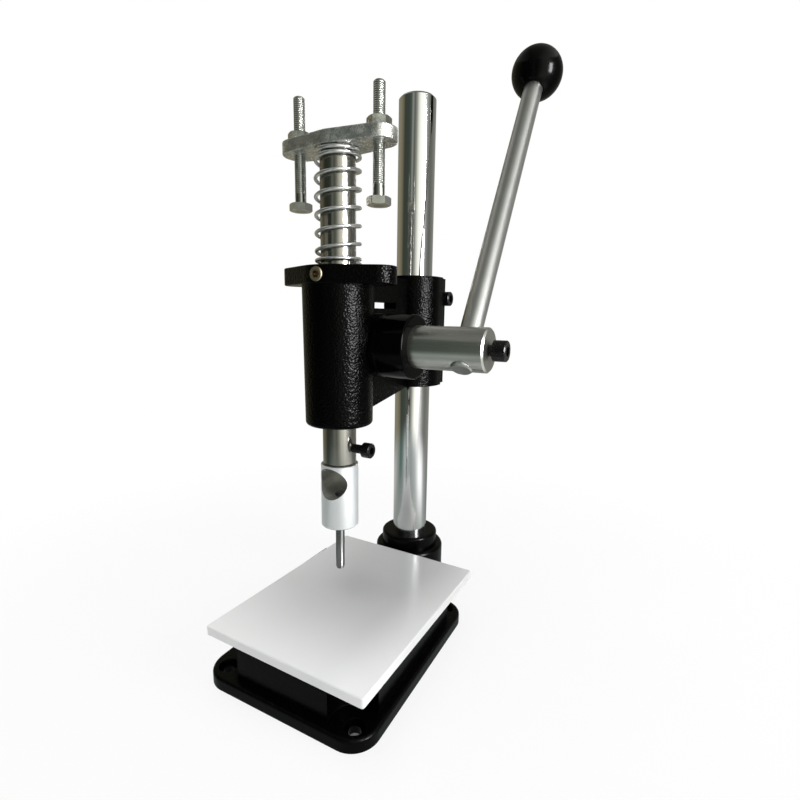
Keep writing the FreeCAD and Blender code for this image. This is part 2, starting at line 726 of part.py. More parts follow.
# Ram: a round bar with rack teeth at the back, a guide slot in front and a bore at each end.
def make_ram():
    radius = "(ram_diameter / 2)"
    length = "(plate_bottom - ram_bottom)"
    stem = "(stem_diameter / 2 + stem_fit)"
    tapped = "(plate_thread / 2 + 0.05)"
    body = new_body("ram_body", (0, "ram_y", "ram_bottom"))
    turn(body, "ram_turned",
         [(stem, 0), (radius + " - ram_end_chamfer", 0), (radius, "ram_end_chamfer"), (radius, length),
          (tapped, length), (tapped, length + " - plate_thread_depth"), (0, length + " - plate_thread_depth"),
          (0, "stem_bore_depth"), (stem, "stem_bore_depth")])
    doc.recompute()

    pitch = "(tooth_module * 3.14159265)"
    contact = "(pinion_height - ram_bottom)"
    lowest = "(%s - (rack_gaps_below + 0.5) * %s)" % (contact, pitch)
    highest = "(%s + (rack_gaps - rack_gaps_below - 0.5) * %s)" % (contact, pitch)
    tip = "(rack_pitch_offset + rack_addendum)"
    outside = "(ram_diameter / 2 + 1)"
    flat = outline("ram_flat_outline", [(tip, lowest), (outside, lowest), (outside, highest), (tip, highest)],
                   body, "YZ")
    pocket_through(body, "ram_flat", flat, "ram_diameter")

    half = "(%s / 4 + tooth_backlash / 4)" % pitch
    slope = "tan(pressure_angle * 1 deg)"
    root = "(rack_pitch_offset - rack_dedendum)"
    first = "(%s - rack_gaps_below * %s)" % (contact, pitch)
    wide = "(%s + (rack_addendum + 0.5) * %s)" % (half, slope)
    narrow = "(%s - rack_dedendum * %s)" % (half, slope)
    beyond = "(%s + 0.5)" % tip
    gap = outline("ram_gap_outline", [(root, first + " - " + narrow), (beyond, first + " - " + wide),
                                      (beyond, first + " + " + wide), (root, first + " + " + narrow)], body, "YZ")
    cutter = pocket_through(body, "ram_gap", gap, "ram_diameter")
    pattern = body.newObject("PartDesign::LinearPattern", "ram_rack")
    pattern.Originals = [cutter]
    pattern.Direction = (gap, ["V_Axis"])
    bind(pattern, Length="(rack_gaps - 1) * " + pitch, Occurrences="rack_gaps")
    body.Tip = pattern
    doc.recompute()

    slot_low = "(flange_bottom - ram_bottom - 8)"
    slot_high = "(%s - ram_bottom + 26)" % flange_top
    depth = "(ram_diameter / 2 - guide_slot_depth)"
    slot = outline("ram_slot_outline", [("-" + outside, slot_low), ("-" + depth, slot_low),
                                        ("-" + depth, slot_high), ("-" + outside, slot_high)], body, "YZ")
    pocket_through(body, "ram_slot", slot, "guide_slot_width")

    hole = body.newObject("Sketcher::SketchObject", "ram_screw_hole_outline")
    origin_plane = [f for f in body.Origin.OriginFeatures if f.Role == "YZ_Plane"][0]
    hole.AttachmentSupport = [(origin_plane, "")]
    hole.MapMode = "FlatFace"
    height = "(holder_screw_height - ram_bottom)"
    ring = hole.addGeometry(Part.Circle(Vector(0, number(height), 0), Vector(0, 0, 1),
                                        number("five_thread / 2 + 0.05")), False)
    hole.addConstraint(Sketcher.Constraint("PointOnObject", ring, 3, -2))
    rise = hole.addConstraint(Sketcher.Constraint("DistanceY", -1, 1, ring, 3, number(height)))
    hole.setExpression("Constraints[%d]" % rise, formula(height))
    bore = hole.addConstraint(Sketcher.Constraint("Diameter", ring, number("five_thread + 0.1")))
    hole.setExpression("Constraints[%d]" % bore, formula("five_thread + 0.1"))
    drilled = body.newObject("PartDesign::Pocket", "ram_screw_hole")
    drilled.Profile = hole
    drilled.Reversed = True
    bind(drilled, Length=outside)
    doc.recompute()
    node(body, "ram")


def pocket_through(body, name, sketch, width):
    """A pocket of one width, centred on the sketch's plane."""
    thing = body.newObject("PartDesign::Pocket", name)
    thing.Profile = sketch
    thing.SideType = "Symmetric"
    bind(thing, Length=width)
    doc.recompute()
    return thing


# Pinion shaft: involute teeth behind the ram, a journal and ring groove on the left, the lever's hole on the right.
def make_pinion_shaft():
    full = "(shaft_diameter / 2)"
    axis_at = (pinion_y, "pinion_height")
    body = cylinder("shaft_bar", full, "shaft_end_x - pinion_half_width",
                    ("pinion_half_width",) + axis_at, "X")
    body = chamfer("shaft_bar_chamfered", body, "shaft_end_chamfer", rim_along_x("shaft_end_x"))
    flank = cylinder("shaft_collar", full, "journal_shoulder_x - end_play / 2 - pinion_half_width",
                     ("-journal_shoulder_x + end_play / 2",) + axis_at, "X")
    journal = cylinder("shaft_journal", "journal_diameter / 2", "journal_length + end_play",
                       ("-journal_shoulder_x - journal_length",) + axis_at, "X")
    journal = chamfer("shaft_journal_chamfered", journal, 0.6,
                      rim_along_x("-journal_shoulder_x - journal_length"))
    teeth = doc.addObject("Part::Feature", "shaft_teeth")
    teeth.Shape = toothed_wheel()
    place(teeth, ("-pinion_half_width",) + axis_at, "X")
    blank = fuse("shaft_blank", body, flank, journal, teeth)

    groove_at = "(-hub_back_x - end_play - washer_thickness - ring_thickness)"
    groove = cut("shaft_groove",
                 cylinder("shaft_groove_outer", "journal_diameter / 2 + 1", "ring_thickness",
                          (groove_at,) + axis_at, "X"),
                 cylinder("shaft_groove_inner", "ring_groove_diameter / 2", "ring_thickness",
                          (groove_at,) + axis_at, "X"))
    cross = lever_cylinder("shaft_cross_hole", "lever_diameter / 2 + lever_fit", "-shaft_diameter", "shaft_diameter")
    tapped = cylinder("shaft_tapped_hole", "six_thread / 2 + 0.05", "shaft_end_x - lever_x + 1",
                      ("lever_x",) + axis_at, "X")
    node(cut("shaft_whole", blank, groove, cross, tapped), "pinion_shaft")


def toothed_wheel():
    """The pinion's teeth as a prism along Z, with a tooth on -Y, which becomes the ram's side.

    Each flank is an involute of the base circle; below that circle it runs straight to the root.
    """
    count = int(number("pinion_teeth"))
    pitch = number(pitch_radius)
    angle = math.radians(number("pressure_angle"))
    base = pitch * math.cos(angle)
    outer = pitch + number("pinion_addendum")
    root = pitch - number("pinion_dedendum")
    width = math.pi * number("tooth_module") / 2 - number("tooth_backlash") / 2

    def half_angle(radius):
        turned = math.acos(min(1.0, base / radius))
        return width / (2 * pitch) + (math.tan(angle) - angle) - (math.tan(turned) - turned)

    radii = [base + (outer - base) * k / 5 for k in range(6)]
    wire_points = []
    for tooth in range(count):
        middle = 2 * math.pi * tooth / count - math.pi / 2
        rising = [(root, -half_angle(base))] + [(radius, -half_angle(radius)) for radius in radii]
        falling = [(radius, -offset) for radius, offset in reversed(rising)]
        for radius, offset in rising + falling:
            wire_points.append(Vector(radius * math.cos(middle + offset), radius * math.sin(middle + offset), 0))
    wire_points.append(wire_points[0])
    face = Part.Face(Part.makePolygon(wire_points))
    return face.extrude(Vector(0, 0, 2 * number("pinion_half_width")))


def lever_placement(thing, along):
    """Stand the thing's own +Z along the lever, at a distance from the shaft's axis."""
    thing.Placement = FreeCAD.Placement(Vector(), FreeCAD.Rotation(Vector(-1, 0, 0), 1))
    thing.setExpression(".Placement.Base.x", formula("lever_x"))
    thing.setExpression(".Placement.Base.y", formula("%s + (%s) * sin(lever_tilt * 1 deg)" % (pinion_y, along)))
    thing.setExpression(".Placement.Base.z", formula("pinion_height + (%s) * cos(lever_tilt * 1 deg)" % along))
    thing.setExpression(".Placement.Rotation.Angle", formula("lever_tilt"))
    return thing


def lever_cylinder(name, radius, start, end):
    thing = doc.addObject("Part::Cylinder", name)
    bind(thing, Radius=radius, Height="(%s) - (%s)" % (end, start))
    return lever_placement(thing, start)


# Washer and retaining ring that keep the shaft in the head.
def make_shaft_keepers():
    washer = new_body("washer_body", ("-hub_back_x - end_play / 2 - washer_thickness", pinion_y, "pinion_height"),
                      "X")
    inner = "(journal_diameter / 2 + 0.05)"
    outer = "(washer_diameter / 2)"
    turn(washer, "washer_turned", [(inner, 0), (outer, 0), (outer, "washer_thickness"), (inner, "washer_thickness")])
    node(washer, "shaft_washer")

    thick = "(ring_thickness - 0.1)"
    place_x = "-hub_back_x - end_play - washer_thickness - ring_thickness + 0.05"
    ring = cut("ring_open",
               cylinder("ring_outer", "ring_diameter / 2", thick, (place_x, pinion_y, "pinion_height"), "X"),
               cylinder("ring_inner", "ring_groove_diameter / 2 + 0.03", thick,
                        (place_x, pinion_y, "pinion_height"), "X"),
               box("ring_gap", (place_x + " - 1", pinion_y + " - 2.5", "pinion_height"),
                   (place_x + " + 3", pinion_y + " + 2.5", "pinion_height + ring_diameter")))
    node(ring, "shaft_ring")


# Lever: rod through the shaft, black ball at its end, and the screw that clamps it.
def make_lever():
    rod = new_body("lever_body")
    radius = "(lever_diameter / 2)"
    length = "(ball_distance - sqrt(ball_radius ^ 2 - ball_flat_radius ^ 2) + ball_bore_depth - 0.3 + lever_tail)"
    turn(rod, "lever_turned",
         [(0, 0), (radius + " - lever_end_chamfer", 0), (radius, "lever_end_chamfer"),
          (radius, length + " - lever_end_chamfer"), (radius + " - lever_end_chamfer", length), (0, length)])
    lever_placement(rod, "-lever_tail")
    node(rod, "lever_rod")

    ball = doc.addObject("Part::Sphere", "ball_full")
    bind(ball, Radius="ball_radius")
    flat = "sqrt(ball_radius ^ 2 - ball_flat_radius ^ 2)"
    below = cylinder("ball_below", "ball_radius * 2", "ball_radius * 2", (0, 0, "-ball_radius * 2 - " + flat))
    bore = cylinder("ball_bore", radius + " + lever_fit", "ball_radius + ball_bore_depth",
                    (0, 0, "-ball_radius - " + flat))
    knob = cut("ball_cut", ball, below, bore)
    lever_placement(knob, "ball_distance")
    node(knob, "ball_knob")

    tip_at = "(lever_x + lever_diameter / 2 + 0.1)"
    under_head = "(shaft_end_x + lever_screw_stand)"
    node(cap_screw("lever_screw_body", "end", "%s - %s" % (under_head, tip_at),
                   (under_head, pinion_y, "pinion_height"), "X"), "lever_screw")


# Return spring: one right-hand wire with closed end turns, drawn as arcs that meet tangentially.
def spring_rise(turns):
    """Height of the wire's middle above its start, and its slope, after a number of turns."""
    end_turns = number("spring_end_turns")
    end_pitch = number("spring_end_pitch")
    middle_turns = number("spring_middle_turns")
    blend_turns = 0.5
    room = number("plate_bottom - %s - spring_wire - 2 * spring_seat_gap" % spring_foot)
    rest = room - 2 * end_turns * end_pitch - blend_turns * end_pitch
    middle_pitch = rest / (middle_turns + blend_turns)
    total = 2 * end_turns + 2 * blend_turns + middle_turns
    stages = ((end_turns, end_pitch, end_pitch), (blend_turns, end_pitch, middle_pitch),
              (middle_turns, middle_pitch, middle_pitch), (blend_turns, middle_pitch, end_pitch),
              (end_turns, end_pitch, end_pitch))
    height = 0.0
    left = turns
    for span, start_pitch, end_pitch_here in stages:
        part = min(left, span)
        slope = start_pitch + (end_pitch_here - start_pitch) * part / span
        height += part * (start_pitch + slope) / 2
        left -= part
        if left <= 1e-9:
            return height, slope, total
    return height, slope, total


def arc_with_tangent(start, direction, end):
    """The circular arc that leaves the start in a direction and reaches the end."""
    chord = end - start
    side = chord - direction * chord.dot(direction)
    side.normalize()
    radius = chord.dot(chord) / (2 * chord.dot(side))
    centre = start + side * radius
    middle = (start - centre) + (end - centre)
    middle.normalize()
    return Part.Arc(start, centre + middle * radius, end)


def make_spring():
    radius = number("spring_coil_radius")
    wire_radius = number("spring_wire / 2")
    foot = number(spring_foot + " + spring_wire / 2 + spring_seat_gap")
    ram_y = number("ram_y")
    total = spring_rise(0)[2]
    steps = int(round(total * 4))

    def point(k):
        turns = total * k / steps
        height, slope, _ = spring_rise(turns)
        angle = 2 * math.pi * turns
        place_here = Vector(radius * math.cos(angle), ram_y + radius * math.sin(angle), foot + height)
        heading = Vector(-math.sin(angle) * radius, math.cos(angle) * radius, slope / (2 * math.pi))
        heading.normalize()
        return place_here, heading

    stations = [point(k) for k in range(steps + 1)]
    edges = []
    first, first_heading = stations[0]
    straight = first - first_heading * (2 * wire_radius)
    edges.append(Part.LineSegment(straight, first).toShape())
    for (start, leaving), (end, arriving) in zip(stations, stations[1:]):
        chord = end - start
        both = leaving + arriving
        spread = 2 * (1 - leaving.dot(arriving))
        reach = (-chord.dot(both) + math.sqrt(chord.dot(both) ** 2 + spread * chord.dot(chord))) / spread
        joint = (start + end + (leaving - arriving) * reach) * 0.5
        edges.append(arc_with_tangent(start, leaving, joint).toShape())
        edges.append(arc_with_tangent(end, arriving * -1, joint).toShape())
    last, last_heading = stations[-1]
    edges.append(Part.LineSegment(last, last + last_heading * (2 * wire_radius)).toShape())

    path = Part.Wire(Part.__sortEdges__(edges))
    ring = Part.Wire(Part.makeCircle(wire_radius, straight, first_heading))
    shell = path.makePipeShell([ring], True, False)
    thing = doc.addObject("Part::Feature", "spring_coil")
    thing.Shape = shell
    report_spring(stations, wire_radius)
    node(thing, "return_spring")


def report_spring(stations, wire_radius):
    """Print the least gap between the wire and itself, measured on points of neighbouring turns."""
    least = 1e9
    for i in range(len(stations)):
        for j in range(i + 3, len(stations)):
            least = min(least, (stations[i][0] - stations[j][0]).Length - 2 * wire_radius)
    print("return_spring: least gap to itself %.2f mm" % least)


# Top plate with its screw.
def make_top_plate():
    blank = eared_plate("plate_blank", "plate_middle_radius", "plate_ear_radius", "plate_thickness",
                        (0, "ram_y", "plate_bottom"))
    eased = fillet("plate_eased", blank, "plate_edge_radius",
                   lambda edge: rim_at(plate_top)(edge) or rim_at("plate_bottom")(edge))
    holes = [cylinder("plate_middle_hole", "plate_thread / 2 + 0.2", "plate_thickness + 2",
                      (0, "ram_y", "plate_bottom - 1"))]
    for tag, sign in (("left", "-"), ("right", "")):
        holes.append(cylinder("plate_hole_" + tag, "bolt_diameter / 2 + bolt_play", "plate_thickness + 2",
                              (sign + bolt_reach, "ram_y", "plate_bottom - 1")))
    node(cut("plate_drilled", eased, *holes), "top_plate")

    shank = "(plate_thread / 2)"
    reach = "(plate_thickness + plate_thread_depth - 2)"
    dome_sphere = "((plate_screw_head ^ 2 / 4 + plate_screw_dome ^ 2) / (2 * plate_screw_dome))"
    ball = doc.addObject("Part::Sphere", "plate_screw_sphere")
    bind(ball, Radius=dome_sphere)
    place(ball, (0, 0, "plate_screw_dome - " + dome_sphere))
    cap = common("plate_screw_dome_cap", ball, cylinder("plate_screw_disc", "plate_screw_head / 2", "plate_screw_dome"))
    screw = cut("plate_screw_cut",
                fuse("plate_screw_blank", cap, cylinder("plate_screw_shank", shank, reach + " + 0.5",
                                                        (0, 0, "-" + reach))),
                hexagon("plate_screw_hex", "plate_screw_socket", "plate_screw_dome + 1", (0, 0, 0.6)))
    place(screw, (0, "ram_y", plate_top))
    node(screw, "plate_screw")


def chamfered_hexagon(name, width, height, inner):
    """A hexagon whose corners are turned off at both ends, with a hole for the thread."""
    prism = hexagon(name + "_prism", width, height)
    prism.Placement = FreeCAD.Placement(Vector(), FreeCAD.Rotation(Vector(0, 0, 1), 30))
    corner = "((%s) / sqrt(3))" % width
    round_blank = new_body(name + "_round")
    turn(round_blank, name + "_round_turned",
         [(inner, 0), (corner + " - hex_chamfer", 0), (corner, "hex_chamfer / 2"),
          (corner, "%s - hex_chamfer / 2" % height), (corner + " - hex_chamfer", height), (inner, height)])
    return common(name, prism, round_blank)


# Stop bolts: hex bolts, heads down, that meet the flange's ears, and their lock nuts on the plate.
def make_stops():
    for tag, sign in (("left", "-"), ("right", "")):
        head_bottom = "bolt_head_bottom_" + tag
        head = chamfered_hexagon("bolt_head_" + tag, "bolt_head_width", "bolt_head_height", 0)
        shank = new_body("bolt_shank_" + tag)
        radius = "(bolt_diameter / 2)"
        length = "(bolt_head_height + bolt_length)"
        turn(shank, "bolt_shank_turned_" + tag,
             [(0, "bolt_head_height / 2"), (radius, "bolt_head_height / 2"), (radius, length + " - bolt_chamfer"),
              (radius + " - bolt_chamfer", length), (0, length)])
        bolt = fuse("bolt_" + tag, head, shank)
        place(bolt, (sign + bolt_reach, "ram_y", head_bottom))
        node(bolt, "stop_bolt_" + tag)

        nut = chamfered_hexagon("nut_" + tag, "bolt_head_width", "nut_height", "(bolt_diameter / 2 + bolt_play)")
        place(nut, (sign + bolt_reach, "ram_y", plate_top))
        node(nut, "stop_nut_" + tag)


# Punch holder with the slug window, and the hollow punch.
def make_punch():
    radius = "(holder_diameter / 2)"
    top = "(ram_bottom - holder_gap - holder_bottom)"
    stem = "(stem_diameter / 2)"
    bore = "(punch_stem_diameter / 2 + punch_fit)"
    outer = new_body("holder_turned_body", (0, "ram_y", "holder_bottom"))
    turn(outer, "holder_turned",
         [(bore, 0), (radius + " - holder_chamfer", 0), (radius, "holder_chamfer"), (radius, top + " - 0.4"),
          (radius + " - 0.4", top), (stem, top), (stem, top + " + stem_length - 0.6"),
          (stem + " - 0.6", top + " + stem_length"), (0, top + " + stem_length"),
          (0, "window_centre_height - holder_bottom"), (bore, "window_centre_height - holder_bottom")])
    window = cylinder("holder_window", "window_diameter / 2", "holder_diameter / 2 + window_past_centre + 1",
                      (0, "ram_y - holder_diameter / 2 - 1", "window_centre_height"), "Y")
    node(cut("holder_whole", outer, window), "punch_holder")

    cap = cap_screw("holder_screw_body", "five", "ram_diameter / 2 + holder_screw_stand - stem_diameter / 2 - 0.1",
                    ("ram_diameter / 2 + holder_screw_stand", "ram_y", "holder_screw_height"), "X")
    node(cap, "holder_screw")

    tube = "(punch_diameter / 2)"
    hole = "(punch_bore / 2)"
    flare = "(punch_shoulder_diameter / 2)"
    under = "(holder_bottom - punch_tip)"
    mount = "(punch_stem_diameter / 2)"
    punch = new_body("punch_body", (0, "ram_y", "punch_tip"))
    turn(punch, "punch_turned",
         [(hole, 0), (hole + " + 0.1", 0), (tube, "punch_cutting_edge * 4"),
          (tube, under + " - punch_shoulder_height - 0.6"), (flare, under + " - 0.6"), (flare, under),
          (mount, under), (mount, under + " + punch_stem_length"), (hole, under + " + punch_stem_length")])
    node(punch, "punch")


make_base()
make_column()
make_board()
make_head()
make_clamp_screws()
make_guide_screw()
make_ram()
make_pinion_shaft()
make_shaft_keepers()
make_lever()
make_spring()
make_top_plate()
make_stops()
make_punch()
doc.recompute()

faults = []
for thing in doc.Objects:
    if "Invalid" in thing.State or "Error" in thing.State:
        faults.append("%s: %s" % (thing.Name, thing.State))
for thing in nodes:
    if thing.Shape.isNull() or not thing.Shape.isValid() or not thing.Shape.Solids:
        faults.append("%s: no valid solid" % thing.Label)
if faults:
    raise RuntimeError("faulty objects: " + "; ".join(faults))

os.makedirs("parts", exist_ok=True)
for thing in nodes:
    thing.Shape.exportStep("parts/%s.step" % thing.Label)
    print("%-18s solids %d  volume %.0f" % (thing.Label, len(thing.Shape.Solids), thing.Shape.Volume))
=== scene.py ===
# %% [markdown]
# # A hand-lever paper drill, dressed for its portrait
# The CAD model gives every piece its shape and place. This lesson gives each piece its surface: cast and
# painted iron, chrome, ground and turned steel, zinc plate, aluminium and plastic. Lengths are in metres.
# Z points up, X towards the side that the lever is on, and Y away from the operator.

# %% Load the CAD model
import bpy
import json
import math
import numpy as np
from mathutils import Matrix, Vector


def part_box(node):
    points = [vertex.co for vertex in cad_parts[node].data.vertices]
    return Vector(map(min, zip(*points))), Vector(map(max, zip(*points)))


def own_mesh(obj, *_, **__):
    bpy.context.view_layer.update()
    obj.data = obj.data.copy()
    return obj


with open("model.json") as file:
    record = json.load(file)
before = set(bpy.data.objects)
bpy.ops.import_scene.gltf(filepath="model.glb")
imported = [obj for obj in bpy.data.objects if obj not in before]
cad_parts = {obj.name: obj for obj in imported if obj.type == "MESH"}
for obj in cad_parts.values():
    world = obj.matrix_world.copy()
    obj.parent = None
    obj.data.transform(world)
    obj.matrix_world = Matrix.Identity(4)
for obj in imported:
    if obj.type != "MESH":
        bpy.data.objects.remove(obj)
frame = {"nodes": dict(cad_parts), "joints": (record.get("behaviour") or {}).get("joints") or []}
scene = bpy.context.scene
nodes = frame["nodes"]
joints = {joint["name"]: joint for joint in frame["joints"]}
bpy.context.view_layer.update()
MM = 0.001

# %% [markdown]
# ## The axes that patterns turn round
# Turning marks and threads run round an axis, so each needs its place. The model knows it: a joint gives
# the shaft's and the lever's, and the middle of its box gives a round piece's. Taken from there, a
# pattern stays on its piece when a size of the model changes.

# %% Find the axes


def middle_of(name):
    """The middle of a node's box at rest, rounded to the micrometre, as the mesh is made of small flats."""
    low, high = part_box(name)
    return Vector([round(v, 6) for v in (low + high) / 2])


RAM_Y = middle_of("return_spring").y
COLUMN_Y = middle_of("column").y
SHAFT = Vector(joints["lever_turn"]["pos_m"])
LEVER_RUN = Vector(joints["lever_reach"]["axis"])
print("axes (mm): ram y %.1f, column y %.1f, shaft y %.1f z %.1f"
      % (RAM_Y / MM, COLUMN_Y / MM, SHAFT.y / MM, SHAFT.z / MM))

# %% [markdown]
# ## The camera
# It stands in front of the drill, towards the lever's side, and looks a little down. The lens is short
# and near, which is why the head looks large over the base. Place, turns and lens were fitted to the
# edges of the base, board and column. They are written as angles, because a turn about the upright is
# easier to picture than the matrix that Blender keeps.

# %% Make the camera
CAMERA_PLACE = Vector((0.15836, -0.23035, 0.20543))
CAMERA_TURN = math.radians(28.13)
CAMERA_RISE = math.radians(9.80)
CAMERA_ROLL = math.radians(0.86)
SENSOR_WIDTH_MM = 36
LENS_MM = 21.894
UPRIGHT = Vector((0, 0, 1))


def make_camera():
    """Turn and rise give the back axis, that gives the other two, and the roll turns those."""
    back = Vector((math.sin(CAMERA_TURN) * math.cos(CAMERA_RISE),
                   -math.cos(CAMERA_TURN) * math.cos(CAMERA_RISE), math.sin(CAMERA_RISE)))
    right = (-back).cross(UPRIGHT).normalized()
    up = right.cross(-back)
    rolled_right = right * math.cos(CAMERA_ROLL) + up * math.sin(CAMERA_ROLL)
    rolled_up = up * math.cos(CAMERA_ROLL) - right * math.sin(CAMERA_ROLL)
    data = bpy.data.cameras.new("camera")
    data.sensor_width = SENSOR_WIDTH_MM
    data.lens = LENS_MM
    data.clip_start = 0.01
    data.clip_end = 20
    camera = bpy.data.objects.new("camera", data)
    axes = Matrix((rolled_right, rolled_up, back)).transposed()
    camera.matrix_world = Matrix.Translation(CAMERA_PLACE) @ axes.to_4x4()
    scene.collection.objects.link(camera)
    scene.camera = camera
    return camera


camera = make_camera()
print("camera at", [round(v, 3) for v in camera.location])

# %% [markdown]
# ## Numbers that live in a material
# A material is a net of nodes, and sums are long to wire by hand. A `Flow` is one socket that adds,
# multiplies and compares like a number, so a pattern reads as a formula, and each operator adds its Math
# node.

# %% Make sockets work in sums


class Flow:
    """A socket that works in sums like a number."""

    def __init__(self, wires, socket):
        self.wires = wires
        self.socket = socket

    def math(self, operation, *values):
        return self.wires.node("Math", values, operation=operation)

    def __add__(self, other):
        return self.math("ADD", self, other)

    def __sub__(self, other):
        return self.math("SUBTRACT", self, other)

    def __rsub__(self, other):
        return self.math("SUBTRACT", other, self)

    def __mul__(self, other):
        return self.math("MULTIPLY", self, other)

    def __truediv__(self, other):
        return self.math("DIVIDE", self, other)

    def __rtruediv__(self, other):
        return self.math("DIVIDE", other, self)

    def __pow__(self, other):
        return self.math("POWER", self, other)

    def __abs__(self):
        return self.math("ABSOLUTE", self)

    __radd__ = __add__
    __rmul__ = __mul__

    def larger(self, other):
        return self.math("MAXIMUM", self, other)

    def steps(self, low, high):
        """0 below low, 1 above high, smooth between them."""
        limits = {"Value": self, "From Min": low, "From Max": high}
        return self.wires.node("MapRange", limits, interpolation_type="SMOOTHSTEP")


def distance(across, along):
    """How far a point is from an axis, from its two offsets: the root of the sum of their squares."""
    return (across ** 2 + along ** 2) ** 0.5


def turn(across, along):
    """The turn of a point round an axis, from 0 to 1: the arc tangent of its two offsets."""
    return across.math("ARCTAN2", across, along) / (2 * math.pi) + 0.5


def grey(level):
    """A colour with the same red, green and blue."""
    return (level, level, level)


print("sums ready")

# %% [markdown]
# ## A material that is easy to wire
# `Wiring` holds a net of nodes and the one method that adds a node to it. `Paint` is the net of one
# material, with its Principled shader. It reads Object coordinates, which stay with a piece when it
# moves, so a pattern has its size in real millimetres on every piece.

# %% Make nets of nodes
MIX_FACTOR, MIX_FIRST, MIX_SECOND, MIX_COLOR = 0, 6, 7, 2


class Wiring:
    """A net of nodes, and the one method that adds a node to it."""

    def __init__(self, tree):
        self.tree = tree

    def plug(self, value, socket):
        """Link a flow to a socket, or set a plain number or colour on it."""
        if isinstance(value, Flow):
            self.tree.links.new(value.socket, socket)
        elif socket.type == "RGBA":
            socket.default_value = (*value, 1)
        else:
            socket.default_value = value

    def node(self, kind, inputs=(), output=0, stops=(), **settings):
        """Add a node: first its settings and a ramp's stops, then the values or links of its sockets."""
        made = self.tree.nodes.new("ShaderNode" + kind)
        for key, value in settings.items():
            setattr(made, key, value)
        if stops:
            self.place_stops(made.color_ramp.elements, stops)
        pairs = inputs.items() if isinstance(inputs, dict) else enumerate(inputs)
        for key, value in pairs:
            self.plug(value, made.inputs[key])
        return Flow(self, made.outputs[output])

    def place_stops(self, elements, stops):
        while len(elements) < len(stops):
            elements.new(1)
        for element, (where, color) in zip(elements, stops):
            element.position = where
            element.color = (*color, 1)

    def seen(self):
        """1 for rays from the camera, off gloss or through glass, and 0 for those that carry light."""
        flow = self.node("LightPath", output="Is Camera Ray")
        for kind in ("Is Glossy Ray", "Is Transmission Ray"):
            flow = flow.larger(self.node("LightPath", output=kind))
        return flow


class Paint(Wiring):
    """A material: one Principled shader, and the nodes that feed it."""

    def __init__(self, name, **plain):
        self.material = bpy.data.materials.new(name)
        self.material.use_nodes = True
        super().__init__(self.material.node_tree)
        self.shader = self.tree.nodes["Principled BSDF"]
        self.place = self.node("TexCoord", output="Object")
        split = self.node("SeparateXYZ", [self.place]).socket.node
        self.x, self.y, self.z = [Flow(self, socket) for socket in split.outputs]
        for key, value in plain.items():
            self.feed(key.replace("_", " "), value)

    def feed(self, key, value):
        self.plug(value, self.shader.inputs[key])

    def noise(self, grain, detail=2, stretch=(1, 1, 1), rough=0.5, place=None):
        """Noise whose lumps are about one grain wide, in metres. A stretch below 1 draws them out."""
        spread = self.node("VectorMath", [place or self.place, stretch], operation="MULTIPLY")
        inputs = {"Vector": spread, "Scale": 1 / grain, "Detail": detail, "Roughness": rough}
        return self.node("TexNoise", inputs, output="Fac")

    def cells(self, grain):
        """Rounded cells about one grain apart, in metres: 0 in a cell's middle, higher towards its edge."""
        inputs = {"Vector": self.place, "Scale": 1 / grain}
        return self.node("TexVoronoi", inputs, output="Distance", feature="SMOOTH_F1")

    def ramp(self, factor, stops):
        """A colour read from stops, each a place from 0 to 1 and a colour."""
        return self.node("ValToRGB", [factor], stops=stops)

    def mix(self, factor, first, second):
        """A colour between two. Its sockets go by number, as a Mix node has more of the same name."""
        inputs = {MIX_FACTOR: factor, MIX_FIRST: first, MIX_SECOND: second}
        return self.node("Mix", inputs, output=MIX_COLOR, data_type="RGBA")

    def bump(self, height, depth):
        """Raise the surface by a height from 0 to 1 times a depth in metres."""
        self.feed("Normal", self.node("Bump", {"Height": height, "Distance": depth, "Strength": 1.0}))


def wear(paint, *names):
    """Give CAD nodes their finish."""
    for name in names:
        slots = nodes[name].data.materials
        slots.clear()
        slots.append(paint.material)
    print(paint.material.name, "on", ", ".join(names))


print("paint ready:", [name for name in vars(Paint) if not name.startswith("_")])

# %% [markdown]
# ## The base: enamelled cast iron
# The real base is cast iron, and its black enamel lies smooth on the sides and pitted on the flat of the
# plate. One even paint would lose that, so a band of height just under and at the plate's top turns the
# pits up. Rounded cells make the pits, and noise makes the slow waves of a casting. Black enamel reflects
# little here, so its specular level is low.

# %% Dress the base


def base_enamel():
    """Pits, waves and grain, with the pits deeper between the two heights that bound the plate's top."""
    paint = Paint("base_enamel", Base_Color=grey(0.0008), Specular_IOR_Level=0.09)
    up_to_plate = paint.z.steps(5.2 * MM, 6.9 * MM)
    past_plate = paint.z.steps(7.3 * MM, 8.5 * MM)
    top = up_to_plate * (1 - past_plate)
    pits = paint.cells(1.3 * MM)
    waves = paint.noise(7 * MM, detail=3)
    fine = paint.noise(0.5 * MM)
    paint.feed("Roughness", 0.15 + 0.16 * fine + 0.1 * top)
    paint.bump(pits * (0.12 + 0.7 * top) + waves * 0.9 + fine * 0.12, depth=0.2 * MM)
    return paint


wear(base_enamel(), "base")

# %% [markdown]
# ## The head: orange-peel paint
# The head has a thick paint that dried in small round lumps, like orange peel. Only the rim of the
# shaft's hub was turned on a lathe after casting, so it is smooth. A mask finds the rim by its distance
# from the shaft's axis and takes nine tenths of the relief away there.

# %% Dress the head
HUB_X = 22 * MM
HUB_RADIUS = 18.3 * MM


